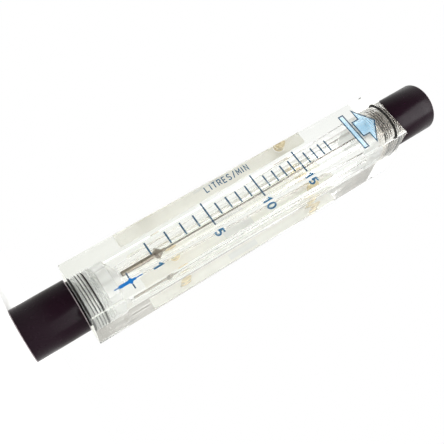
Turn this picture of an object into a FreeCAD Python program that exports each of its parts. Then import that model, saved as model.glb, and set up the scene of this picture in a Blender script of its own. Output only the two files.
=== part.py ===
"""In-line rotameter: a clear acrylic block with a tapered bore, a float on a
guide rod, and a threaded adaptor in each end.

The meter stands upright as it is used. The bore's axis is Z, the inlet is at
the bottom, and the origin is the centre of the inlet port's mouth. The scale
is on the front face, towards -Y. All sizes are in millimetres.
"""
import FreeCAD, Part
import math
import os

V = FreeCAD.Vector

# ---- driving sizes -------------------------------------------------------
# acrylic block
BLOCK_WIDTH = 38.0          # across the scale face
BLOCK_FRONT = 19.8          # bore axis to the scale face
BLOCK_BACK = 29.7           # bore axis to the mounting face
BLOCK_LENGTH = 232.0
EDGE_CHAMFER = 0.5          # long edges of the block

# the passage through the block
THREAD_RADIUS = 13.5        # 14 per inch thread of each end, plain at its pitch size
THREAD_LENGTH = 15.0        # tapped deeper than the adaptor reaches
CHAMBER_RADIUS = 13.2       # plain chamber beyond each thread
INLET_CHAMBER_DEPTH = 22.0
OUTLET_CHAMBER_DEPTH = 29.0
DRILL_POINT_ANGLE = 118.0   # the inlet chamber ends in a drill's point
TAPER_INLET_RADIUS = 6.0    # tapered bore at its small end
TAPER_START = 28.0          # the taper's small end above the block's inlet end
TAPER_OUTLET_RADIUS = 13.0

# end adaptors
STUB_RADIUS = 16.7
STUB_LENGTH = 33.9
STUB_CHAMFER = 0.5
SHOULDER_GAP = 1.1          # left open between stub and block by the seal
NOSE_LENGTH = 9.6           # how far an adaptor reaches into the block
NOSE_CLEARANCE = 0.1        # on the radius, in the thread
PORT_RADIUS = 9.3           # half-inch pipe thread, at its tapping size
PORT_DEPTH = 20.0
WATERWAY_RADIUS = 8.6

# O-ring seals, each between a stub's shoulder and a cone at the thread's mouth
SEAL_SECTION = 2.48
SEAL_INNER_RADIUS = 11.9
SEAL_COLLAR_CLEARANCE = 0.05
SEAL_FACE_CLEARANCE = 0.01  # to the shoulder and to the cone
SEAL_CONE_ANGLE = 45.0      # between the cone's side and the bore's axis

# guide rod and its two supports
ROD_RADIUS = 0.8
ROD_END_PROUD = 1.0         # rod beyond each support
SUPPORT_THICKNESS = 2.5
SUPPORT_RADIUS = 11.0
SUPPORT_RIM = 1.4
SUPPORT_HUB_RADIUS = 3.5
SPOKE_WIDTH = 1.6
SPOKE_COUNT = 3
SEAT_CLEARANCE = 0.05       # support in its seat, rod in its support

# float
FLOAT_READING = 52.7        # reading edge above the block's inlet end
FLOAT_HEAD_RADIUS = 5.9
FLOAT_EDGE_HEIGHT = 0.3
FLOAT_FLARE_HEIGHT = 1.7
FLOAT_BODY_RADIUS = 2.4
FLOAT_BODY_LENGTH = 22.4    # from the flare down to the tail's end
FLOAT_TAIL_CHAMFER = 0.6
FLOAT_CROWN_HEIGHT = 4.0
FLOAT_STEM_RADIUS = 1.5
FLOAT_STEM_LENGTH = 2.0
FLOAT_RUNNING_CLEARANCE = 0.08

# brass mounting inserts in the back: one low on the middle line, two high
INSERT_RADIUS = 3.7
INSERT_LENGTH = 10.0
INSERT_BORE_RADIUS = 2.1    # M5, at its tapping size
INSERT_BORE_DEPTH = 8.5
INSERT_GROOVE_DEPTH = 0.45
INSERT_GROOVE_WIDTH = 1.6
LOWER_INSERT_HEIGHT = 65.0  # above the block's inlet end
UPPER_INSERT_HEIGHT = 168.0
UPPER_INSERT_SPACING = 18.0

# cream backing sheet, and the grey label behind the scale
SHEET_WIDTH = 31.4
SHEET_THICKNESS = 0.5
SHEET_BELOW_INSERT = 25.5   # sheet's lower edge below the lower insert
SHEET_ABOVE_INSERTS = 18.5  # sheet's upper edge above the upper inserts
SHEET_CORNER = 1.5
SHEET_HOLE_CLEARANCE = 0.4  # round each insert
LABEL_WIDTH = 17.0
LABEL_LENGTH = 22.0
LABEL_START = 99.0          # label's lower edge above the block's inlet end

# ---- places that follow from the sizes -----------------------------------
BLOCK_BOTTOM = STUB_LENGTH + SHOULDER_GAP
BLOCK_TOP = BLOCK_BOTTOM + BLOCK_LENGTH
TOTAL_LENGTH = BLOCK_TOP + SHOULDER_GAP + STUB_LENGTH
SEAL_REACH = SEAL_SECTION / 2 + SEAL_FACE_CLEARANCE
SEAL_DEPTH = SEAL_REACH - SHOULDER_GAP  # of the ring's middle, in from the block's end
CONE_SLOPE = math.tan(math.radians(SEAL_CONE_ANGLE))
CONE_ROOM = SEAL_REACH / math.cos(math.radians(SEAL_CONE_ANGLE))
CONE_MOUTH_RADIUS = SEAL_INNER_RADIUS + SEAL_SECTION / 2 + CONE_ROOM + SEAL_DEPTH * CONE_SLOPE
CONE_DEPTH = (CONE_MOUTH_RADIUS - THREAD_RADIUS) / CONE_SLOPE
NOSE_RADIUS = THREAD_RADIUS - NOSE_CLEARANCE
COLLAR_RADIUS = SEAL_INNER_RADIUS - SEAL_COLLAR_CLEARANCE
INLET_SUPPORT_TOP = BLOCK_BOTTOM + NOSE_LENGTH
OUTLET_SUPPORT_BOTTOM = BLOCK_TOP - NOSE_LENGTH


def revolved(outline):
    """Turn a closed outline of (radius, height) points about the Z axis."""
    points = [V(radius, 0, height) for radius, height in outline]
    face = Part.Face(Part.makePolygon(points + points[:1]))
    return face.revolve(V(0, 0, 0), V(0, 0, 1), 360)


def turned_end_for_end(shape):
    """Copy an inlet-end piece to the outlet end, turned half round about X."""
    copy = shape.copy()
    copy.rotate(V(0, 0, TOTAL_LENGTH / 2), V(1, 0, 0), 180)
    return copy


def passage():
    """The seal cones, threads, chambers, drill point and taper as one solid."""
    point_height = (CHAMBER_RADIUS - TAPER_INLET_RADIUS) / math.tan(math.radians(DRILL_POINT_ANGLE / 2))
    inlet_chamber_end = BLOCK_BOTTOM + INLET_CHAMBER_DEPTH
    outlet_chamber_start = BLOCK_TOP - OUTLET_CHAMBER_DEPTH
    return revolved([
        (0, BLOCK_BOTTOM),
        (CONE_MOUTH_RADIUS, BLOCK_BOTTOM),
        (THREAD_RADIUS, BLOCK_BOTTOM + CONE_DEPTH),
        (THREAD_RADIUS, BLOCK_BOTTOM + THREAD_LENGTH),
        (CHAMBER_RADIUS, BLOCK_BOTTOM + THREAD_LENGTH),
        (CHAMBER_RADIUS, inlet_chamber_end),
        (TAPER_INLET_RADIUS, inlet_chamber_end + point_height),
        (TAPER_INLET_RADIUS, BLOCK_BOTTOM + TAPER_START),
        (TAPER_OUTLET_RADIUS, outlet_chamber_start),
        (CHAMBER_RADIUS, outlet_chamber_start),
        (CHAMBER_RADIUS, BLOCK_TOP - THREAD_LENGTH),
        (THREAD_RADIUS, BLOCK_TOP - THREAD_LENGTH),
        (THREAD_RADIUS, BLOCK_TOP - CONE_DEPTH),
        (CONE_MOUTH_RADIUS, BLOCK_TOP),
        (0, BLOCK_TOP),
    ])


def insert_places():
    """Each mounting insert's name with its place across and its height."""
    lower = BLOCK_BOTTOM + LOWER_INSERT_HEIGHT
    upper = BLOCK_BOTTOM + UPPER_INSERT_HEIGHT
    return {
        "lower_mounting_insert": (0, lower),
        "upper_left_mounting_insert": (-UPPER_INSERT_SPACING / 2, upper),
        "upper_right_mounting_insert": (UPPER_INSERT_SPACING / 2, upper),
    }


def pin_at(place, radius, front, back):
    """A round pin along Y at an insert's place, from y = front to y = back."""
    across, height = place
    return Part.makeCylinder(radius, back - front, V(across, front, height), V(0, 1, 0))


def meter_block():
    """Clear block: chamfered bar, bored through, drilled for the inserts."""
    corner = V(-BLOCK_WIDTH / 2, -BLOCK_FRONT, BLOCK_BOTTOM)
    bar = Part.makeBox(BLOCK_WIDTH, BLOCK_FRONT + BLOCK_BACK, BLOCK_LENGTH, corner)
    long_edges = [edge for edge in bar.Edges if abs(edge.Length - BLOCK_LENGTH) < 1e-6]
    bar = bar.makeChamfer(EDGE_CHAMFER, long_edges)
    holes = [pin_at(place, INSERT_RADIUS, BLOCK_BACK - INSERT_LENGTH, BLOCK_BACK)
             for place in insert_places().values()]
    return bar.cut([passage()] + holes)


def adaptor():
    """Inlet adaptor: stub with a pipe thread port, seal collar and nose."""
    shoulder = STUB_LENGTH
    collar_top = BLOCK_BOTTOM + CONE_DEPTH + NOSE_CLEARANCE
    nose_top = INLET_SUPPORT_TOP
    seat_radius = SUPPORT_RADIUS + SEAT_CLEARANCE
    seat_bottom = nose_top - SUPPORT_THICKNESS
    return revolved([
        (PORT_RADIUS, 0),
        (STUB_RADIUS - STUB_CHAMFER, 0),
        (STUB_RADIUS, STUB_CHAMFER),
        (STUB_RADIUS, shoulder - STUB_CHAMFER),
        (STUB_RADIUS - STUB_CHAMFER, shoulder),
        (COLLAR_RADIUS, shoulder),
        (COLLAR_RADIUS, collar_top),
        (NOSE_RADIUS, collar_top),
        (NOSE_RADIUS, nose_top),
        (seat_radius, nose_top),
        (seat_radius, seat_bottom),
        (WATERWAY_RADIUS, seat_bottom),
        (WATERWAY_RADIUS, PORT_DEPTH),
        (PORT_RADIUS, PORT_DEPTH),
    ])


def o_ring():
    """Inlet seal, held between the stub's shoulder and the block's cone."""
    section_radius = SEAL_SECTION / 2
    height = STUB_LENGTH + SEAL_FACE_CLEARANCE + section_radius
    return Part.makeTorus(SEAL_INNER_RADIUS + section_radius, section_radius, V(0, 0, height))


def rod_support():
    """Inlet support: a rim and a hub joined by spokes, with room to flow."""
    bottom = V(0, 0, INLET_SUPPORT_TOP - SUPPORT_THICKNESS)
    rim = Part.makeCylinder(SUPPORT_RADIUS, SUPPORT_THICKNESS, bottom)
    rim = rim.cut(Part.makeCylinder(SUPPORT_RADIUS - SUPPORT_RIM, SUPPORT_THICKNESS, bottom))
    hub = Part.makeCylinder(SUPPORT_HUB_RADIUS, SUPPORT_THICKNESS, bottom)
    spokes = []
    for number in range(SPOKE_COUNT):
        spoke = Part.makeBox(SUPPORT_RADIUS - SUPPORT_RIM / 2, SPOKE_WIDTH, SUPPORT_THICKNESS,
                             bottom - V(0, SPOKE_WIDTH / 2, 0))
        spoke.rotate(V(0, 0, 0), V(0, 0, 1), 90 + number * 360 / SPOKE_COUNT)
        spokes.append(spoke)
    hole = Part.makeCylinder(ROD_RADIUS + SEAT_CLEARANCE, SUPPORT_THICKNESS, bottom)
    return rim.fuse([hub] + spokes).cut(hole).removeSplitter()


def guide_rod():
    """Straight rod along the bore, standing proud of both supports."""
    bottom = INLET_SUPPORT_TOP - SUPPORT_THICKNESS - ROD_END_PROUD
    top = OUTLET_SUPPORT_BOTTOM + SUPPORT_THICKNESS + ROD_END_PROUD
    return Part.makeCylinder(ROD_RADIUS, top - bottom, V(0, 0, bottom))


def float_ends():
    """Heights of the float's tail end and stem end at the stored reading."""
    edge = BLOCK_BOTTOM + FLOAT_READING
    tail_end = edge - FLOAT_EDGE_HEIGHT - FLOAT_FLARE_HEIGHT - FLOAT_BODY_LENGTH
    return tail_end, edge + FLOAT_CROWN_HEIGHT + FLOAT_STEM_LENGTH


def meter_float():
    """Turned float: body, flare to a sharp reading edge, crown and stem."""
    bore = ROD_RADIUS + FLOAT_RUNNING_CLEARANCE
    tail_end, stem_end = float_ends()
    edge = BLOCK_BOTTOM + FLOAT_READING
    return revolved([
        (bore, tail_end),
        (FLOAT_BODY_RADIUS - FLOAT_TAIL_CHAMFER, tail_end),
        (FLOAT_BODY_RADIUS, tail_end + FLOAT_TAIL_CHAMFER),
        (FLOAT_BODY_RADIUS, tail_end + FLOAT_BODY_LENGTH),
        (FLOAT_HEAD_RADIUS, edge - FLOAT_EDGE_HEIGHT),
        (FLOAT_HEAD_RADIUS, edge),
        (FLOAT_STEM_RADIUS, edge + FLOAT_CROWN_HEIGHT),
        (FLOAT_STEM_RADIUS, stem_end),
        (bore, stem_end),
    ])


def mounting_insert(place):
    """Brass insert with a blind threaded hole and a groove round its middle."""
    across, height = place
    middle = (INSERT_LENGTH - INSERT_GROOVE_WIDTH) / 2
    neck = INSERT_RADIUS - INSERT_GROOVE_DEPTH
    body = revolved([
        (0, 0),
        (INSERT_RADIUS, 0),
        (INSERT_RADIUS, middle),
        (neck, middle + INSERT_GROOVE_DEPTH),
        (neck, middle + INSERT_GROOVE_WIDTH - INSERT_GROOVE_DEPTH),
        (INSERT_RADIUS, middle + INSERT_GROOVE_WIDTH),
        (INSERT_RADIUS, INSERT_LENGTH),
        (INSERT_BORE_RADIUS, INSERT_LENGTH),
        (INSERT_BORE_RADIUS, INSERT_LENGTH - INSERT_BORE_DEPTH),
        (0, INSERT_LENGTH - INSERT_BORE_DEPTH),
    ])
    body.rotate(V(0, 0, 0), V(1, 0, 0), -90)
    body.translate(V(across, BLOCK_BACK - INSERT_LENGTH, height))
    return body


def back_label():
    """Grey label on the back of the block, let into the backing sheet."""
    corner = V(-LABEL_WIDTH / 2, BLOCK_BACK, BLOCK_BOTTOM + LABEL_START)
    return Part.makeBox(LABEL_WIDTH, SHEET_THICKNESS, LABEL_LENGTH, corner)


def backing_sheet():
    """Cream sheet on the back, cut round the inserts and round the label."""
    start = LOWER_INSERT_HEIGHT - SHEET_BELOW_INSERT
    length = UPPER_INSERT_HEIGHT + SHEET_ABOVE_INSERTS - start
    corner = V(-SHEET_WIDTH / 2, BLOCK_BACK, BLOCK_BOTTOM + start)
    sheet = Part.makeBox(SHEET_WIDTH, SHEET_THICKNESS, length, corner)
    corner_edges = [edge for edge in sheet.Edges if abs(edge.Length - SHEET_THICKNESS) < 1e-6]
    sheet = sheet.makeFillet(SHEET_CORNER, corner_edges)
    holes = [pin_at(place, INSERT_RADIUS + SHEET_HOLE_CLEARANCE, BLOCK_BACK, BLOCK_BACK + SHEET_THICKNESS)
             for place in insert_places().values()]
    return sheet.cut(holes + [back_label()])


NODES = {
    "meter_block": meter_block(),
    "inlet_adaptor": adaptor(),
    "outlet_adaptor": turned_end_for_end(adaptor()),
    "inlet_o_ring": o_ring(),
    "outlet_o_ring": turned_end_for_end(o_ring()),
    "inlet_rod_support": rod_support(),
    "outlet_rod_support": turned_end_for_end(rod_support()),
    "guide_rod": guide_rod(),
    "float": meter_float(),
    "backing_sheet": backing_sheet(),
    "back_label": back_label(),
}
for name, place in insert_places().items():
    NODES[name] = mounting_insert(place)

os.makedirs("parts", exist_ok=True)
for name, shape in NODES.items():
    shape.exportStep("parts/" + name + ".step")
    print(name, "solids", len(shape.Solids), "valid", shape.isValid(), "volume", round(shape.Volume, 1))

tail_end, stem_end = float_ends()
print("the float can sink", round(tail_end - INLET_SUPPORT_TOP, 3), "mm and rise",
      round(OUTLET_SUPPORT_BOTTOM - stem_end, 3), "mm")
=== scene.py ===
"""Looks of an in-line rotameter: a clear acrylic block with a tapered bore,
a float on a guide rod, dark threaded adaptors and a printed scale.

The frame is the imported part: Z along the bore, the scale towards -Y. Lengths
in this script are millimetres until a mesh is made.
"""
import math

import bmesh
import bpy
import numpy as np
from mathutils import Matrix, Quaternion, Vector
from mathutils.geometry import tessellate_polygon


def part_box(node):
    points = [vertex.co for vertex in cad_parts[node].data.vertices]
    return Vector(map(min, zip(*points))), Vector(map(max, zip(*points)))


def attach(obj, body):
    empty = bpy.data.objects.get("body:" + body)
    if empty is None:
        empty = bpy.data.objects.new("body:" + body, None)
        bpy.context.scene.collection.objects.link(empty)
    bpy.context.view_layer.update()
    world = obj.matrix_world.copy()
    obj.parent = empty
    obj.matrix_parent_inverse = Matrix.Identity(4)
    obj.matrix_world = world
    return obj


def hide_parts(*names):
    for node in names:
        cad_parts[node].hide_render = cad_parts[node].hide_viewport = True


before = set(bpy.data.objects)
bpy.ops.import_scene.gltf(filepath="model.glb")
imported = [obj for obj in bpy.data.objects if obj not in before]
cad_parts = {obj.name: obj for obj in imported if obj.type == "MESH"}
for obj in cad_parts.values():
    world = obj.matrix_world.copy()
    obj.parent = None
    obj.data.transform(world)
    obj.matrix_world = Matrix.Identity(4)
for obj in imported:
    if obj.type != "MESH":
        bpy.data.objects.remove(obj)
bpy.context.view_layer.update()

MM = 0.001
TURN = 2 * math.pi
SIDES = 144                 # facets round the passage, the adaptors and the seals
HOLE_SIDES = 48             # facets round the holes for the inserts


def corner_mm(node):
    """A CAD node's lowest and highest corners, in millimetres."""
    low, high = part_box(node)
    return np.array(low) / MM, np.array(high) / MM


# ---- measures taken from the CAD pieces ----------------------------------
block_low, block_high = corner_mm("meter_block")
BLOCK_BOTTOM, BLOCK_TOP = block_low[2], block_high[2]
FRONT, BACK = block_low[1], block_high[1]
HALF_WIDTH = block_high[0]
STUB_RADIUS = corner_mm("inlet_adaptor")[1][0]
TOTAL = corner_mm("outlet_adaptor")[1][2]
NOSE_TOP = corner_mm("inlet_adaptor")[1][2]
RING_LOW, RING_HIGH = corner_mm("inlet_o_ring")
FLOAT_LOW, FLOAT_HIGH = corner_mm("float")
ROD_RADIUS = corner_mm("guide_rod")[1][0]
SUPPORT_LOW, SUPPORT_HIGH = corner_mm("inlet_rod_support")
SHEET_LOW, SHEET_HIGH = corner_mm("backing_sheet")
LABEL_LOW, LABEL_HIGH = corner_mm("back_label")
INSERTS = ("lower_mounting_insert", "upper_left_mounting_insert",
           "upper_right_mounting_insert")

# ---- the passage: radii, and heights from the nearer end of the block ----
PITCH = 25.4 / 14           # 14 threads per inch
THREAD_MAJOR = 13.9
THREAD_MINOR = 12.95
THREAD_FLAT = 0.07          # each flat of the thread, as a share of the pitch
THREAD_END = 15.0           # the tapped length
THREAD_RELIEF = 0.3         # the short step from the thread to the chamber
CONE_MOUTH = 15.058         # the seal's cone at the block's end, at 45 degrees
CONE_DEPTH = CONE_MOUTH - 13.5
CHAMBER_RADIUS = 13.2
INLET_CHAMBER = 22.0
OUTLET_CHAMBER = 29.0
DRILL_HALF_ANGLE = 59.0     # of the inlet chamber's bottom, in degrees
TAPER_START = 28.0
TAPER_SMALL = 6.0
TAPER_LARGE = 13.0

# ---- heights where the adaptors meet the block ---------------------------
THREAD_START = BLOCK_BOTTOM + CONE_MOUTH - THREAD_MINOR
NOSE_START = BLOCK_BOTTOM + CONE_DEPTH + 0.1

# ---- fits ----------------------------------------------------------------
BOND = 0.04                 # how far bonded pieces sink into the acrylic
LOOSE = 0.15                # between thread and acrylic where they don't touch
SUPPORT_PLAY = 0.05
COLLAR_PLAY = 0.05          # inside the seal
SHOULDER_PLAY = 0.01        # under the seal
FLOAT_PLAY = 0.08           # on the rod
INSERT_ROOM = 0.4           # round each insert, in the backing sheet
LABEL_ROOM = 0.02           # round the label, in the backing sheet
INK_PROUD = 0.03            # the print stands this far in front of the acrylic
INK_GAP = 0.005             # from the box's front, and into the acrylic
SAME = 0.01                 # lengths closer than this are taken as the same


# ---- making meshes -------------------------------------------------------
class Skin:
    """Patches of one piece's surface, welded into a single mesh."""

    def __init__(self):
        self.points = []
        self.faces = []
        self.count = 0

    def add(self, points, faces):
        """Adds points (N x 3, millimetres) and faces that index them."""
        self.points.append(np.asarray(points, float).reshape(-1, 3))
        self.faces += [tuple(int(i) + self.count for i in face) for face in faces]
        self.count += len(self.points[-1])

    def grid(self, points):
        """Adds a rows x columns x 3 grid of points as quads."""
        rows, columns = points.shape[:2]
        index = np.arange(rows * columns).reshape(rows, columns)
        quads = np.stack([index[:-1, :-1], index[:-1, 1:], index[1:, 1:], index[1:, :-1]], -1)
        self.add(points, quads.reshape(-1, 4))

    def flat(self, loops):
        """Adds a flat face: the first loop is its edge, the others its holes."""
        rings = [[Vector(point) for point in loop] for loop in loops]
        points = [point for loop in loops for point in loop]
        self.add(points, tessellate_polygon(rings))

    def plate(self, loops, y_front, y_back):
        """Adds a flat plate between two planes of y, from loops of (x, z)."""
        loops = [np.asarray(loop, float) for loop in loops]
        for y in (y_front, y_back):
            self.flat([np.insert(loop, 1, y, axis=1) for loop in loops])
        for loop in loops:
            closed = np.concatenate([loop, loop[:1]])
            self.grid(np.stack([np.insert(closed, 1, y, axis=1) for y in (y_front, y_back)]))

    def piece(self, name, body, materials, stands_for=()):
        """Welds the patches, turns the faces outward and makes the object."""
        mesh = bpy.data.meshes.new(name)
        mesh.from_pydata(np.concatenate(self.points) * MM, [], self.faces)
        built = bmesh.new()
        built.from_mesh(mesh)
        bmesh.ops.remove_doubles(built, verts=built.verts, dist=2e-6)
        bmesh.ops.dissolve_degenerate(built, edges=built.edges, dist=1e-7)
        bmesh.ops.recalc_face_normals(built, faces=built.faces)
        built.to_mesh(mesh)
        built.free()
        mesh.shade_smooth()
        mesh.set_sharp_from_angle(angle=math.radians(30))
        for material in materials:
            mesh.materials.append(material)
        made = bpy.data.objects.new(name, mesh)
        bpy.context.scene.collection.objects.link(made)
        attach(made, body)
        if stands_for:
            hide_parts(*stands_for)
        return made


def round_points(radius, height, columns):
    """Points (r cos t, r sin t, z) for t from 0 to one turn, end included."""
    t = np.linspace(0, TURN, columns + 1)
    radius = np.broadcast_to(radius, t.shape)
    height = np.broadcast_to(height, t.shape)
    return np.stack([radius * np.cos(t), radius * np.sin(t), height], -1)


def turned_rows(outline, columns=SIDES):
    """Rows of a turned surface through (radius, height) points."""
    return np.stack([round_points(radius, height, columns) for radius, height in outline])


def thread_rows(minor, major, start, end):
    """Rows of a threaded wall between two flat rings.

    Height z = start + pitch (t / turn) + s along the helix, and radius
    r = minor + (major - minor) * f(s / pitch), where f is a flat, a rise, a
    flat and a fall. The first and last turns fade in and out, so both ends
    are flat rings.
    """
    profile = np.array([0, THREAD_FLAT, 0.5, 0.5 + THREAD_FLAT])   # along one pitch
    depth = np.array([0.0, 0.0, 1.0, 1.0])
    whole_turns = max(1, int(round((end - start) / PITCH)) - 1)
    lead = (end - start) / (whole_turns + 1)
    steps = len(profile)
    columns_at = np.linspace(0, 1, SIDES + 1)
    rows = []
    for j in range(steps):                             # the thread's run-in
        z = start + lead * columns_at * profile[j]
        rows.append((z, depth[j] * columns_at))
    for turn in range(whole_turns):
        for j in range(steps):
            z = start + lead * (columns_at + turn + profile[j])
            rows.append((z, np.full_like(z, depth[j])))
    for j in range(steps + 1):                         # the thread's run-out
        part = profile[j] if j < steps else 1.0
        d = depth[j] if j < steps else 0.0
        z = start + lead * (columns_at + whole_turns) + lead * (1 - columns_at) * part
        rows.append((z, d * (1 - columns_at)))
    made = [round_points(minor + (major - minor) * d, z, SIDES) for z, d in rows]
    return np.stack(made)


def as_it_is(points):
    """The same points at the inlet end, where every piece is worked out."""
    return points


def end_for_end(points):
    """The same points at the outlet end: half a turn about the X direction."""
    return np.asarray(points) * [1, -1, -1] + [0, 0, TOTAL]


def face_centres(made):
    """The radius from the bore's axis and the height of each face's centre."""
    x, y, z = np.array([face.center for face in made.data.polygons]).T / MM
    return np.hypot(x, y), z


# ---- materials -----------------------------------------------------------
def blend(tree, share, first, second):
    """Mixes two colours, each given as numbers or as a socket, by a share."""
    node = tree.nodes.new("ShaderNodeMix")
    node.data_type = "RGBA"
    tree.links.new(share, node.inputs[0])
    for socket, colour in ((node.inputs[6], first), (node.inputs[7], second)):
        if isinstance(colour, tuple):
            socket.default_value = (*colour, 1)
        else:
            tree.links.new(colour, socket)
    return node.outputs[2]


def ramp(tree, value, start, end, low=0.0, high=1.0, way="LINEAR"):
    """Maps value from start..end to low..high."""
    node = tree.nodes.new("ShaderNodeMapRange")
    node.interpolation_type = way
    node.inputs["From Min"].default_value = start
    node.inputs["From Max"].default_value = end
    node.inputs["To Min"].default_value = low
    node.inputs["To Max"].default_value = high
    tree.links.new(value, node.inputs["Value"])
    return node.outputs["Result"]


class Paint:
    """A procedural material, with short ways to add its parts."""

    def __init__(self, name, colour, roughness, **settings):
        self.material = bpy.data.materials.new(name)
        self.material.use_nodes = True
        self.tree = self.material.node_tree
        self.shader = self.tree.nodes["Principled BSDF"]
        self.shader.inputs["Base Color"].default_value = (*colour, 1)
        self.shader.inputs["Roughness"].default_value = roughness
        for key, value in settings.items():
            self.shader.inputs[key.replace("_", " ")].default_value = value
        self.place = self.tree.nodes.new("ShaderNodeTexCoord").outputs["Object"]

    def noise(self, scale, detail=3.0, stretch=(1, 1, 1)):
        """Noise on Object coordinates, in metres, times a scale for each
        direction."""
        stretched = self.tree.nodes.new("ShaderNodeMapping")
        stretched.inputs["Scale"].default_value = stretch
        self.tree.links.new(self.place, stretched.inputs["Vector"])
        node = self.tree.nodes.new("ShaderNodeTexNoise")
        node.inputs["Scale"].default_value = scale
        node.inputs["Detail"].default_value = detail
        self.tree.links.new(stretched.outputs["Vector"], node.inputs["Vector"])
        return node.outputs["Fac"]

    def waves(self, scale, direction="Z"):
        """Fine rings, as a turning tool leaves them."""
        node = self.tree.nodes.new("ShaderNodeTexWave")
        node.wave_type = "BANDS"
        node.bands_direction = direction
        node.inputs["Scale"].default_value = scale
        node.inputs["Detail"].default_value = 1.0
        self.tree.links.new(self.place, node.inputs["Vector"])
        return node.outputs["Fac"]

    def mix(self, value, first, second):
        """Colours the surface between two colours by a value."""
        self.tree.links.new(blend(self.tree, value, first, second),
                            self.shader.inputs["Base Color"])

    def roughen(self, value, low, high):
        """Varies the roughness from low to high by a noise value."""
        self.tree.links.new(ramp(self.tree, value, 0.3, 0.7, low, high),
                            self.shader.inputs["Roughness"])

    def bump(self, value, distance, strength):
        """Raises the surface by value times distance, in metres."""
        node = self.tree.nodes.new("ShaderNodeBump")
        node.inputs["Strength"].default_value = strength
        node.inputs["Distance"].default_value = distance
        self.tree.links.new(value, node.inputs["Height"])
        last = self.shader.inputs["Normal"]
        if last.links:
            self.tree.links.new(last.links[0].from_socket, node.inputs["Normal"])
        self.tree.links.new(node.outputs["Normal"], last)


CLEAR = (0.985, 0.99, 0.98)
ACRYLIC_IOR = 1.49


def acrylic(name, roughness, clear, colour=CLEAR):
    """Clear acrylic; clear is the share of light that goes through."""
    return Paint(name, colour, roughness, IOR=ACRYLIC_IOR, Transmission_Weight=clear)


def polished_acrylic():
    paint = acrylic("polished_acrylic", 0.0, 1.0)
    paint.roughen(paint.noise(60, 4), 0.0, 0.012)
    return paint.material


def bored_acrylic():
    paint = acrylic("bored_acrylic", 0.02, 1.0)
    paint.roughen(paint.noise(300, 3, (1, 1, 8)), 0.0, 0.012)
    return paint.material


def turned_acrylic(name, rough, clear, colour):
    """Walls left by the drill and the threading tool: slightly frosted, in the given colour; the
    threads' grey and brownish colours are painted shade.
    """
    paint = acrylic(name, rough, clear, colour)
    paint.roughen(paint.noise(250, 3, (1, 1, 6)), rough * 0.8, rough * 1.2)
    return paint.material


def dark_pvc():
    paint = Paint("dark_pvc", (0.006, 0.0015, 0.004), 0.3, Specular_IOR_Level=0.09)
    paint.mix(paint.noise(45, 5), (0.0045, 0.001, 0.003), (0.0075, 0.002, 0.0055))
    paint.roughen(paint.noise(120, 4), 0.2, 0.32)
    paint.bump(paint.waves(900), 0.00001, 0.35)
    paint.bump(paint.noise(700, 4), 0.00004, 0.3)
    return paint.material


def chamfer_highlight_pvc():
    """The small chamfers and roundings at the stubs' rims, painted pale as a highlight."""
    paint = Paint("chamfer_highlight_pvc", (0.3, 0.26, 0.27), 0.5, Specular_IOR_Level=0.3)
    paint.mix(paint.noise(400, 4), (0.2, 0.17, 0.18), (0.36, 0.32, 0.33))
    return paint.material


def black_rubber():
    paint = Paint("black_rubber", (0.006, 0.006, 0.007), 0.35, Specular_IOR_Level=0.05)
    paint.roughen(paint.noise(400, 3), 0.28, 0.45)
    paint.bump(paint.noise(900, 3), 0.00001, 0.3)
    return paint.material


def turned_steel(name, dark, light, roughness):
    paint = Paint(name, light, roughness, Metallic=1.0)
    paint.mix(paint.noise(150, 4, (1, 1, 6)), dark, light)
    paint.roughen(paint.noise(250, 3), roughness * 0.8, roughness * 1.3)
    paint.bump(paint.waves(1400), 0.000004, 0.4)
    return paint.material


def turned_brass():
    paint = Paint("turned_brass", (0.8, 0.68, 0.45), 0.5, Metallic=0.7)
    paint.mix(paint.noise(200, 4), (0.70, 0.58, 0.36), (0.86, 0.76, 0.54))
    paint.bump(paint.waves(1200, "Y"), 0.00001, 0.4)
    return paint.material


def matt_sheet(name, first, second):
    paint = Paint(name, first, 0.7, Specular_IOR_Level=0.2)
    paint.mix(paint.noise(35, 5), first, second)
    paint.bump(paint.noise(1500, 3), 0.00001, 0.4)
    return paint.material


def print_ink(name, first, second):
    paint = Paint(name, first, 0.6, Specular_IOR_Level=0.2)
    paint.mix(paint.noise(500, 4), first, second)
    paint.roughen(paint.noise(800, 2), 0.5, 0.7)
    return paint.material


# the two thread finishes are darker than clear acrylic: painted shade, grey at the inlet and
# brownish at the outlet
ACRYLIC = [polished_acrylic(), bored_acrylic(),
           turned_acrylic("drilled_acrylic", 0.4, 0.6, (0.9, 0.91, 0.89)),
           turned_acrylic("inlet_thread_painted_shade", 0.3, 0.5, (0.68, 0.69, 0.67)),
           turned_acrylic("outlet_thread_painted_shade", 0.3, 0.68, (0.79, 0.73, 0.66))]
POLISHED, BORED, DRILLED, SHADED_INLET_THREAD, SHADED_OUTLET_THREAD = range(len(ACRYLIC))
# the second PVC finish is a painted highlight for the stubs' rims
PVC = [dark_pvc(), chamfer_highlight_pvc()]
RUBBER = black_rubber()
ROD_STEEL = turned_steel("rod_steel", (0.16, 0.145, 0.13), (0.24, 0.22, 0.2), 0.25)
FLOAT_STEEL = turned_steel("float_steel", (0.22, 0.19, 0.15), (0.34, 0.30, 0.25), 0.3)
BRASS = turned_brass()
CREAM = matt_sheet("cream_sheet", (0.955, 0.95, 0.87), (0.975, 0.97, 0.90))
GREY = matt_sheet("grey_label", (0.84, 0.845, 0.81), (0.87, 0.875, 0.84))
SCALE_INK = print_ink("scale_ink", (0.0, 0.032, 0.068), (0.001, 0.04, 0.085))
NUMBER_INK = print_ink("number_ink", (0.0, 0.055, 0.125), (0.001, 0.067, 0.15))
BRIGHT_INK = print_ink("bright_ink", (0.0, 0.085, 0.27), (0.001, 0.10, 0.31))
PALE_INK = print_ink("pale_ink", (0.22, 0.56, 0.85), (0.27, 0.61, 0.88))


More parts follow.
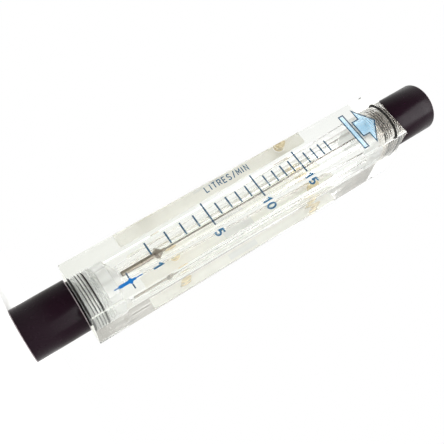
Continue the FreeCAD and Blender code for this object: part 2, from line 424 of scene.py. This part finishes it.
# ---- the acrylic block ---------------------------------------------------
def insert_place(name):
    """Centre, radius and length of a round insert that lies along Y."""
    low, high = corner_mm(name)
    return (low + high) / 2, (high[0] - low[0]) / 2, high[1] - low[1]


def block_outside(skin):
    """Chamfered bar, open at its ends; its mounting face has a blind hole for
    each insert. Returns the edges of the two end faces."""
    front = FRONT + INK_PROUD
    edge = 0.5                                         # chamfer of the long edges
    end_edge = 0.15                                    # chamfer of the end faces

    def outer_loop(inset, height):
        x, y0, y1 = HALF_WIDTH - inset, front + inset, BACK - inset
        return np.array([(-x + edge, y0, height), (x - edge, y0, height),
                         (x, y0 + edge, height), (x, y1 - edge, height),
                         (x - edge, y1, height), (-x + edge, y1, height),
                         (-x, y1 - edge, height), (-x, y0 + edge, height)])

    loops = [outer_loop(end_edge, BLOCK_BOTTOM), outer_loop(0, BLOCK_BOTTOM + end_edge),
             outer_loop(0, BLOCK_TOP - end_edge), outer_loop(end_edge, BLOCK_TOP)]
    mounting_side = 4
    for level in range(3):
        for side in range(8):
            if level == 1 and side == mounting_side:
                continue
            ends = [side, (side + 1) % 8]
            skin.grid(np.stack([loops[level][ends], loops[level + 1][ends]]))

    holes = []
    for name in INSERTS:
        centre, radius, length = insert_place(name)
        ring = round_points(radius - BOND, 0, HOLE_SIDES)
        around = np.stack([ring[:, 0] + centre[0], np.full(len(ring), BACK),
                           ring[:, 1] + centre[2]], -1)
        bottom = around - [0, length - BOND, 0]
        skin.grid(np.stack([around, bottom]))
        skin.flat([bottom[:-1]])
        holes.append(around[:-1])
    skin.flat([[loops[1][4], loops[1][5], loops[2][5], loops[2][4]]] + holes)
    return loops[0], loops[3]


def block_passage(skin):
    """Cone, thread and relief at each end; between them the inlet's chamber
    with its drill point, the tapered bore and the outlet's chamber."""
    relief_end = THREAD_END + THREAD_RELIEF
    tapped_end = BLOCK_BOTTOM + THREAD_END
    cone = turned_rows([(CONE_MOUTH, BLOCK_BOTTOM), (THREAD_MINOR, THREAD_START)])
    thread = thread_rows(THREAD_MINOR, THREAD_MAJOR, THREAD_START, tapped_end)
    relief = turned_rows([(THREAD_MINOR, tapped_end), (CHAMBER_RADIUS, BLOCK_BOTTOM + relief_end)])
    for part in (cone, thread, relief):
        skin.grid(part)
        skin.grid(end_for_end(part))

    drill_point = (CHAMBER_RADIUS - TAPER_SMALL) / math.tan(math.radians(DRILL_HALF_ANGLE))
    chamber_end = BLOCK_BOTTOM + INLET_CHAMBER
    taper_start = BLOCK_BOTTOM + TAPER_START
    taper_end = BLOCK_TOP - OUTLET_CHAMBER
    outline = [(CHAMBER_RADIUS, BLOCK_BOTTOM + relief_end), (CHAMBER_RADIUS, chamber_end),
               (TAPER_SMALL, chamber_end + drill_point)]
    for s in np.linspace(0, 1, 25):
        outline.append((TAPER_SMALL + (TAPER_LARGE - TAPER_SMALL) * s,
                        taper_start + (taper_end - taper_start) * s))
    outline += [(CHAMBER_RADIUS, taper_end), (CHAMBER_RADIUS, BLOCK_TOP - relief_end)]
    skin.grid(turned_rows(outline))


def block_finish(made):
    """The finish of each face of the block, as a place in ACRYLIC. The flats
    of the thread stay clear, so that they show what touches them."""
    radius, height = face_centres(made)
    from_end = np.minimum(height - BLOCK_BOTTOM, BLOCK_TOP - height)
    outlet_half = height > (BLOCK_BOTTOM + BLOCK_TOP) / 2
    passage = (radius < CONE_MOUTH + SAME) & (from_end > SAME)
    chambers = from_end < np.where(outlet_half, OUTLET_CHAMBER, TAPER_START) - SAME
    tapped = from_end < THREAD_END
    flats = tapped & (np.abs(radius - THREAD_MINOR) < SAME)
    # the tapped walls, bar their flats, take the thread finishes with painted shade
    thread = np.where(outlet_half, SHADED_OUTLET_THREAD, SHADED_INLET_THREAD)
    finish = np.where(chambers & ~flats, np.where(tapped, thread, DRILLED), BORED)
    return np.where(passage, finish, POLISHED).astype(np.int32)


def clear_block():
    """The whole acrylic block: outside, end faces and passage."""
    skin = Skin()
    end_faces = block_outside(skin)
    mouth = round_points(CONE_MOUTH, BLOCK_BOTTOM, SIDES)[:-1]
    skin.flat([end_faces[0], mouth])
    skin.flat([end_faces[1], end_for_end(mouth)])
    block_passage(skin)
    made = skin.piece("clear_block", "meter", ACRYLIC, ["meter_block"])
    made.data.polygons.foreach_set("material_index", block_finish(made))


# ---- the end adaptors and their seals ------------------------------------
def end_adaptor(name, node, place, tight_to):
    """PVC stub: threaded port, seal collar, threaded nose and support seat.

    Its thread touches the acrylic between tight_from and tight_to, measured
    from the block's end, and comes loose over a short fade beyond them.
    """
    tight_from, fade = 3.6, 0.6
    rim, chamfer, rounding = STUB_RADIUS, 0.5, 0.15
    port, port_end = 9.3, 20.0
    port_thread, thread_stop = 1.0, port_end - 1.0     # the port's thread: depth and end
    mouth = 0.9                                        # height of the port's chamfer
    waterway = 8.6
    seat, seat_floor = SUPPORT_HIGH[0] + SUPPORT_PLAY, SUPPORT_LOW[2]
    collar = -RING_LOW[0] - (RING_HIGH[2] - RING_LOW[2]) - COLLAR_PLAY
    shoulder = RING_LOW[2] - SHOULDER_PLAY
    root = THREAD_MINOR + BOND
    neck = root - LOOSE

    outside = [(port + port_thread, 0), (rim - chamfer, 0), (rim - rounding, rounding),
               (rim, chamfer), (rim, shoulder - chamfer), (rim - rounding, shoulder - rounding),
               (rim - chamfer, shoulder), (collar, shoulder), (collar, NOSE_START),
               (neck, NOSE_START), (neck, THREAD_START)]
    thread = thread_rows(root, THREAD_MAJOR - LOOSE, THREAD_START, BLOCK_BOTTOM + THREAD_END)
    height = thread[..., 2] - BLOCK_BOTTOM
    past = np.maximum(tight_from - height, height - tight_to)
    loose = np.clip(past / fade, 0, 1) * LOOSE
    thread[..., :2] *= 1 - loose[..., None] / root
    thread[..., 2] = np.clip(thread[..., 2], NOSE_START, NOSE_TOP)
    inside = [(neck, NOSE_TOP), (seat, NOSE_TOP), (seat, seat_floor), (waterway, seat_floor),
              (waterway, port_end), (port, port_end), (port, thread_stop)]
    port_rows = thread_rows(port, port + port_thread, mouth, thread_stop)
    port_chamfer = [(port, mouth), (port + port_thread, 0.0)]

    skin = Skin()
    for part in (turned_rows(outside), thread, turned_rows(inside), port_rows,
                 turned_rows(port_chamfer)):
        skin.grid(place(part))
    made = skin.piece(name, "meter", PVC, [node])
    radius, _ = face_centres(made)
    # faces on the rims' chamfers and roundings take the pale PVC: a painted highlight
    painted_highlight = (radius > rim - chamfer) & (radius < rim - SAME)
    made.data.polygons.foreach_set("material_index", painted_highlight.astype(np.int32))


def seal_ring(name, node, place, spread):
    """O-ring: a circle swept round the bore's axis and spread by its squeeze,
    flat where it would pass the cone r + z = CONE_MOUTH by more than the bond."""
    section = (RING_HIGH[2] - RING_LOW[2]) / 2
    middle = RING_HIGH[0] - section
    height = (RING_HIGH[2] + RING_LOW[2]) / 2
    squeezed = section + spread
    outline = []
    for t in np.linspace(0, TURN, 65):
        r, z = middle + squeezed * math.cos(t), height + squeezed * math.sin(t)
        past = max(0.0, r + z - BLOCK_BOTTOM - CONE_MOUTH - BOND * math.sqrt(2))
        r, z = r - past / 2, max(z - past / 2, RING_LOW[2] - BOND)
        if r < THREAD_MINOR:
            z = min(z, NOSE_START)
        outline.append((max(r, middle - section - BOND), z))
    skin = Skin()
    skin.grid(place(turned_rows(outline)))
    skin.piece(name, "meter", [RUBBER], [node])


# ---- the float -----------------------------------------------------------
def turned_float():
    """Stainless float: body, flare, sharp reading edge, crown and stem."""
    bore = ROD_RADIUS + FLOAT_PLAY
    tail, top = FLOAT_LOW[2], FLOAT_HIGH[2]
    head = FLOAT_HIGH[0]
    body, stem = 2.4, 1.5
    reading_edge = BLOCK_BOTTOM + 52.7
    outline = [(bore, tail), (body - 0.6, tail), (body, tail + 0.6), (body, reading_edge - 2.0),
               (head, reading_edge - 0.3), (head, reading_edge), (stem, reading_edge + 4.0),
               (stem, top - 0.2), (stem - 0.2, top), (bore, top), (bore, tail)]
    skin = Skin()
    skin.grid(turned_rows(outline, 96))
    skin.piece("float_piece", "float", [FLOAT_STEEL], ["float"])


# ---- sheet, label and inserts --------------------------------------------
def label_outline(room=0.0):
    """The label's edge as (x, z) corners, with room left all round it."""
    x0, z0 = LABEL_LOW[0] - room, LABEL_LOW[2] - room
    x1, z1 = LABEL_HIGH[0] + room, LABEL_HIGH[2] + room
    return [(x0, z0), (x1, z0), (x1, z1), (x0, z1)]


def backing_sheet():
    """Cream sheet bonded to the back, with holes for the inserts and label."""
    x0, z0 = SHEET_LOW[0], SHEET_LOW[2]
    x1, z1 = SHEET_HIGH[0], SHEET_HIGH[2]
    corner = 1.5
    outline = []
    for cx, cz, start in ((x1 - corner, z0 + corner, -90), (x1 - corner, z1 - corner, 0),
                          (x0 + corner, z1 - corner, 90), (x0 + corner, z0 + corner, 180)):
        for angle in range(start, start + 91, 15):
            t = math.radians(angle)
            outline.append((cx + corner * math.cos(t), cz + corner * math.sin(t)))
    loops = [outline]
    for name in INSERTS:
        centre, radius, _ = insert_place(name)
        hole = round_points(radius + INSERT_ROOM, 0, HOLE_SIDES)[:-1, :2]
        loops.append(hole + [centre[0], centre[2]])
    loops.append(label_outline(LABEL_ROOM))
    skin = Skin()
    skin.plate(loops, BACK - BOND, SHEET_HIGH[1])
    skin.piece("cream_backing_sheet", "meter", [CREAM], ["backing_sheet"])


def grey_label():
    """Small blank label let into the sheet."""
    skin = Skin()
    skin.plate([label_outline()], BACK - BOND, LABEL_HIGH[1])
    skin.piece("grey_back_label", "meter", [GREY], ["back_label"])


def brass_insert(node):
    """Threaded brass insert along Y, with its blind hole open at the back."""
    centre, radius, length = insert_place(node)
    start = centre[1] - length / 2
    mid = length / 2
    groove = radius - 0.45
    chamfer = 0.3
    hole, hole_depth = 2.1, 8.5
    tooth, step = 0.3, 0.4                             # of the tapped hole
    outline = [(0, 0), (radius, 0), (radius, mid - 0.8), (groove, mid - 0.4), (groove, mid + 0.4),
               (radius, mid + 0.8), (radius, length - chamfer), (radius - chamfer, length),
               (hole + tooth, length)]
    outline += [(hole + tooth * (k % 2), length - chamfer - step * k) for k in range(20)]
    outline += [(hole, length - hole_depth), (0, length - hole_depth)]
    rows = turned_rows(outline, 64)
    skin = Skin()
    skin.grid(np.stack([rows[..., 0] + centre[0], rows[..., 2] + start,
                        rows[..., 1] + centre[2]], -1))
    skin.piece(node + "_piece", "meter", [BRASS], [node])


# ---- the print on the scale face: x, and height above the block's bottom -
INK_BACK = FRONT + INK_PROUD + INK_GAP
INK_FRONT = FRONT + INK_GAP


def ink(name, shapes, material):
    """Flat printed shapes: each is an edge loop, then a loop for each hole."""
    skin = Skin()
    for shape in shapes:
        skin.plate([np.array(loop) + [0, BLOCK_BOTTOM] for loop in shape], INK_FRONT, INK_BACK)
    skin.piece(name, "meter", [material])


def bar(x0, x1, z0, z1):
    """A plain rectangle."""
    return [[(x0, z0), (x1, z0), (x1, z1), (x0, z1)]]


def area(loop):
    """The area inside a loop: half the sum of x_i z_j - x_j z_i."""
    x, z = loop[:, 0], loop[:, 1]
    return abs(np.dot(x, np.roll(z, -1)) - np.dot(np.roll(x, -1), z)) / 2


def stroke(path, width, closed=False):
    """A line of even width along a path, with mitred corners and square ends."""
    path = np.array(path, float)
    before = np.roll(path, 1, 0)
    after = np.roll(path, -1, 0)
    if not closed:
        before[0] = 2 * path[0] - path[1]
        after[-1] = 2 * path[-1] - path[-2]
    into = (path - before) / np.linalg.norm(path - before, axis=1, keepdims=True)
    out = (after - path) / np.linalg.norm(after - path, axis=1, keepdims=True)
    middle = (into + out) / np.linalg.norm(into + out, axis=1, keepdims=True)
    side = np.stack([-middle[:, 1], middle[:, 0]], -1)
    reach = width / 2 / np.clip(np.sum(middle * into, 1, keepdims=True), 0.35, 1)
    left, right = path + side * reach, path - side * reach
    if closed:
        return sorted([left, right], key=area, reverse=True)
    return [np.concatenate([left, right[::-1]])]


# heights of the lines for 1, 2, 3 and so on, up to 19 litres per minute
MARKS = [47.2, 60.6, 71.1, 80.3, 88.6, 96.1, 103.6, 110.7, 118.0, 124.9, 131.7, 138.3,
         144.8, 151.1, 157.4, 163.3, 169.1, 174.8, 180.2]
HALF_LINE = 0.5             # half the thickness of a scale line


def scale_lines():
    """One line for each litre per minute, longer at every fifth."""
    shapes = []
    for number, height in enumerate(MARKS, 1):
        x0, x1 = (-9.2, 7.4) if number % 5 == 0 else (-5.0, 3.5)
        shapes.append(bar(x0, x1, height - HALF_LINE, height + HALF_LINE))
    ink("scale_lines", shapes, SCALE_INK)


DIGIT_HEIGHT = 6.4
DIGIT_STROKE = 1.1
BOWL = 1.6                  # radius of the round parts of 0 and 5


def digit(value, x, z):
    """A printed 0, 1 or 5: one stroke, centred on (x, z)."""
    h = (DIGIT_HEIGHT - DIGIT_STROKE) / 2
    if value == "1":
        path = [(-1.3, h - 1.5), (0.35, h), (0.35, -DIGIT_HEIGHT / 2)]
    elif value == "0":
        turns = np.linspace(0, TURN, 33)[:-1]
        path = [(BOWL * math.cos(t), h * math.sin(t)) for t in turns]
    else:
        turns = np.radians(np.linspace(128, -140, 18))
        tall = 0.98 * BOWL
        path = [(1.4, h), (-1.1, h), (-1.35, -h + 2.8)]
        path += [(-0.15 + BOWL * math.cos(t), -h + tall + tall * math.sin(t)) for t in turns]
    return stroke([(x + px, z + pz) for px, pz in path], DIGIT_STROKE, closed=value == "0")


def scale_numbers():
    """The number of the first line and of every fifth one, beside it."""
    shapes = [digit("1", 11.3, 46.9), digit("5", 12.7, 88.1)]
    for height, unit in ((124.4, "0"), (156.7, "5")):
        shapes += [digit("1", 10.4, height), digit(unit, 14.9, height)]
    ink("scale_numbers", shapes, NUMBER_INK)


# pen paths of the capitals used, in letter widths and heights from the middle
CAPITALS = {
    "L": [[(-0.5, 0.5), (-0.5, -0.5), (0.5, -0.5)]],
    "I": [[(0, 0.5), (0, -0.5)]],
    "T": [[(-0.55, 0.5), (0.55, 0.5)], [(0, 0.5), (0, -0.5)]],
    "R": [[(-0.5, -0.5), (-0.5, 0.5), (0.25, 0.5), (0.5, 0.35), (0.5, 0.15), (0.25, 0.0),
           (-0.3, 0.0)], [(0.15, 0.0), (0.5, -0.5)]],
    "E": [[(0.5, 0.5), (-0.5, 0.5), (-0.5, -0.5), (0.5, -0.5)], [(-0.5, 0.0), (0.4, 0.0)]],
    "S": [[(0.5, 0.36), (0.25, 0.5), (-0.25, 0.5), (-0.5, 0.36), (-0.5, 0.16), (-0.25, 0.04),
           (0.25, -0.04), (0.5, -0.16), (0.5, -0.36), (0.25, -0.5), (-0.25, -0.5),
           (-0.5, -0.36)]],
    "M": [[(-0.6, -0.5), (-0.6, 0.5), (0, -0.2), (0.6, 0.5), (0.6, -0.5)]],
    "N": [[(-0.5, -0.5), (-0.5, 0.5), (0.5, -0.5), (0.5, 0.5)]],
    "/": [[(-0.4, -0.6), (0.4, 0.6)]],
}


def unit_words(words, x, z, height, width):
    """Capitals of one stroke width, read along the block, centred on (x, z)."""
    letter_width = 0.5 * height
    gap = 1.6
    pitch = np.array([gap + (0.15 * height if letter == "I" else letter_width)
                      for letter in words])
    middles = z + np.cumsum(pitch) - pitch / 2 - pitch.sum() / 2
    shapes = []
    for letter, middle in zip(words, middles):
        for path in CAPITALS[letter]:
            line = [(x - up * height, middle + along * letter_width) for along, up in path]
            shapes.append(stroke(line, width))
    ink("unit", shapes, SCALE_INK)


def float_sign():
    """The small printed float that shows which edge to read."""
    x = 10.8
    body = [(-0.35, 21.4), (0.35, 21.4), (1.0, 22.4), (1.0, 28.0), (-1.0, 28.0), (-1.0, 22.4)]
    head = [(-1.0, 28.0), (1.0, 28.0), (2.1, 29.3), (1.0, 30.4), (-1.0, 30.4), (-2.1, 29.3)]
    ink("float_sign", [bar(x - 0.35, x + 0.35, 18.7, 21.4),
                       [[(x + px, z) for px, z in body]],
                       [[(x + px, z) for px, z in head]],
                       bar(x - 0.75, x + 0.75, 30.4, 32.6),
                       bar(x - 0.3, x + 0.3, 32.6, 37.0)], BRIGHT_INK)


def reading_line():
    """The line that crosses the sign at the float's reading edge."""
    low, high = 28.9, 29.7
    ink("reading_line", [bar(5.0, 8.7, low, high), bar(12.9, 16.0, low, high)], SCALE_INK)


def flow_arrow():
    """Hatched arrow that points the way of the flow, over a hatched bar."""
    outline, step, line = 0.8, 0.8, 0.25
    shaft, barb = 6.0, 13.4                            # half widths of the arrow
    foot, neck, tip = 205.2, 210.4, 219.4
    base, base_low, base_high = 13.6, 199.8, 203.2
    arrow = [(-shaft, foot), (shaft, foot), (shaft, neck), (barb, neck), (0.0, tip),
             (-barb, neck), (-shaft, neck)]
    edges = [stroke(arrow, outline, True),
             stroke(bar(-base, base, base_low, base_high)[0], outline, True)]
    ink("flow_arrow", edges, SCALE_INK)

    hatch = []
    for k in range(3):
        low = base_low + 0.6 + step * k
        hatch.append(bar(-base + 0.6, base - 0.6, low, low + line))
    for k in range(16):
        low = foot + 0.7 + step * k
        slope = barb * (tip - low - 0.35) / (tip - neck) - 0.7
        half = shaft - 0.6 if low < neck else slope
        if half > 0.6:
            hatch.append(bar(-half, half, low, low + line))
    ink("flow_arrow_hatching", hatch, PALE_INK)


# ---- build it ------------------------------------------------------------
clear_block()
end_adaptor("inlet_stub", "inlet_adaptor", as_it_is, 10.6)
end_adaptor("outlet_stub", "outlet_adaptor", end_for_end, THREAD_END)
seal_ring("inlet_seal", "inlet_o_ring", as_it_is, 0.45)
seal_ring("outlet_seal", "outlet_o_ring", end_for_end, 0.3)
turned_float()
backing_sheet()
grey_label()
for insert in INSERTS:
    brass_insert(insert)
for shown in ("guide_rod", "inlet_rod_support", "outlet_rod_support"):
    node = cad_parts[shown]
    node.data.materials.clear()
    node.data.materials.append(ROD_STEEL)
scale_lines()
scale_numbers()
unit_words("LITRES/MIN", -15.0, 111.8, 3.9, 0.68)
float_sign()
reading_line()
flow_arrow()


# ---- studio, in metres ---------------------------------------------------
FADE_START, FADE_END = 0.3, 0.9     # distances where the lit floor turns to plain light
# tones of the surroundings
HORIZON = (0.90, 0.91, 0.85)        # behind the meter and low down, seen in the clear block
OVERHEAD = (0.99, 1.0, 0.98)        # behind the meter and high up, seen in the clear block
IN_FRONT = (0.50, 0.48, 0.44)       # on the camera's side, seen in the clear block
WHITE = (1.0, 1.0, 1.0)             # seen by the camera itself


def floor_mesh():
    """Flat round floor: rings of points about the origin, and one in the middle."""
    radii = (FADE_START, FADE_END, 6.0)
    count = 96
    turns = np.linspace(0, TURN, count + 1)[:-1]
    points = [(r * math.cos(t), r * math.sin(t), 0.0) for r in radii for t in turns]
    points.append((0.0, 0.0, 0.0))
    faces = []
    for k in range(count):
        after = (k + 1) % count
        faces.append((len(points) - 1, k, after))
        for ring in range(len(radii) - 1):
            low = ring * count
            faces.append((low + k, low + count + k, low + count + after, low + after))
    mesh = bpy.data.meshes.new("studio_floor")
    mesh.from_pydata(points, [], faces)
    return mesh


def studio_floor():
    """Round white floor. Its share of plain light, as the camera and the
    clear block see it, goes from 0 at FADE_START to 1 at FADE_END, by a smooth
    step of the distance; the rest of it is lit, and takes shadows."""
    mesh = floor_mesh()
    floor = bpy.data.objects.new("studio_floor", mesh)
    bpy.context.scene.collection.objects.link(floor)
    paint = Paint("studio_white", (0.95, 0.95, 0.95), 0.9)
    tree = paint.tree
    links = tree.links

    def maths(kind, first, second):
        node = tree.nodes.new("ShaderNodeMath")
        node.operation = kind
        links.new(first, node.inputs[0])
        links.new(second, node.inputs[1])
        return node.outputs[0]

    distance = tree.nodes.new("ShaderNodeVectorMath")
    distance.operation = "LENGTH"
    links.new(paint.place, distance.inputs[0])
    far = ramp(tree, distance.outputs["Value"], FADE_START, FADE_END, way="SMOOTHSTEP")
    ray = tree.nodes.new("ShaderNodeLightPath").outputs
    seen = maths("MAXIMUM", ray["Is Camera Ray"], ray["Is Glossy Ray"])
    seen = maths("MAXIMUM", seen, ray["Is Transmission Ray"])
    glow = tree.nodes.new("ShaderNodeEmission")
    links.new(blend(tree, ray["Is Camera Ray"], HORIZON, WHITE), glow.inputs["Color"])
    mixed = tree.nodes.new("ShaderNodeMixShader")
    links.new(maths("MULTIPLY", seen, far), mixed.inputs[0])
    links.new(paint.shader.outputs["BSDF"], mixed.inputs[1])
    links.new(glow.outputs[0], mixed.inputs[2])
    links.new(mixed.outputs[0], tree.nodes["Material Output"].inputs["Surface"])
    mesh.materials.append(paint.material)


def white_surroundings():
    """Plain white for the camera. To all else they are bright behind the
    meter, more so higher up, and darker in front of it, by smooth steps of
    the direction's y and z."""
    world = bpy.data.worlds.new("white_surroundings")
    bpy.context.scene.world = world
    world.use_nodes = True
    tree = world.node_tree
    split = tree.nodes.new("ShaderNodeSeparateXYZ")
    tree.links.new(tree.nodes.new("ShaderNodeTexCoord").outputs["Generated"], split.inputs[0])
    back = ramp(tree, split.outputs["Y"], -0.75, -0.35, way="SMOOTHSTEP")
    rise = ramp(tree, split.outputs["Z"], -0.1, 0.6, way="SMOOTHSTEP")
    room = blend(tree, back, IN_FRONT, blend(tree, rise, HORIZON, OVERHEAD))
    camera_ray = tree.nodes.new("ShaderNodeLightPath").outputs["Is Camera Ray"]
    tree.links.new(blend(tree, camera_ray, room, WHITE),
                   tree.nodes["Background"].inputs["Color"])


def soft_lamp(name, place, aim, size, watts):
    """Square lamp of the given size, pointed at aim."""
    lamp = bpy.data.lights.new(name, "AREA")
    lamp.size, lamp.energy = size, watts
    made = bpy.data.objects.new(name, lamp)
    bpy.context.scene.collection.objects.link(made)
    made.location = place
    made.rotation_euler = (Vector(aim) - Vector(place)).to_track_quat("-Z", "Y").to_euler()


def place_camera():
    """Camera before the scale, to its right and near the inlet, turned about
    its own line of sight so that the meter lies aslant."""
    place = Vector((0.122195, -0.343761, 0.018231))
    aim = Vector((0.0, 0.002705, 0.135368))
    roll = math.radians(59.709)
    camera = bpy.data.cameras.new("camera")
    camera.sensor_width = 36.0
    camera.lens = 49.716
    camera.clip_start = 0.01
    made = bpy.data.objects.new("camera", camera)
    bpy.context.scene.collection.objects.link(made)
    sight = (aim - place).to_track_quat("-Z", "Y")
    made.matrix_world = Matrix.LocRotScale(place, sight @ Quaternion((0, 0, 1), roll), None)
    bpy.context.scene.camera = made


studio_floor()
white_surroundings()
soft_lamp("side_lamp", (1.25, -0.95, 0.5), (0, 0, 0.15), 1.6, 18)
soft_lamp("top_lamp", (0.95, -1.0, 1.35), (0, 0, 0.1), 1.5, 41)
place_camera()
bpy.context.scene.view_settings.view_transform = "Standard"

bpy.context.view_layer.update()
cycles = bpy.context.scene.cycles
cycles.max_bounces = cycles.transmission_bounces = 32
cycles.diffuse_bounces = cycles.glossy_bounces = 12
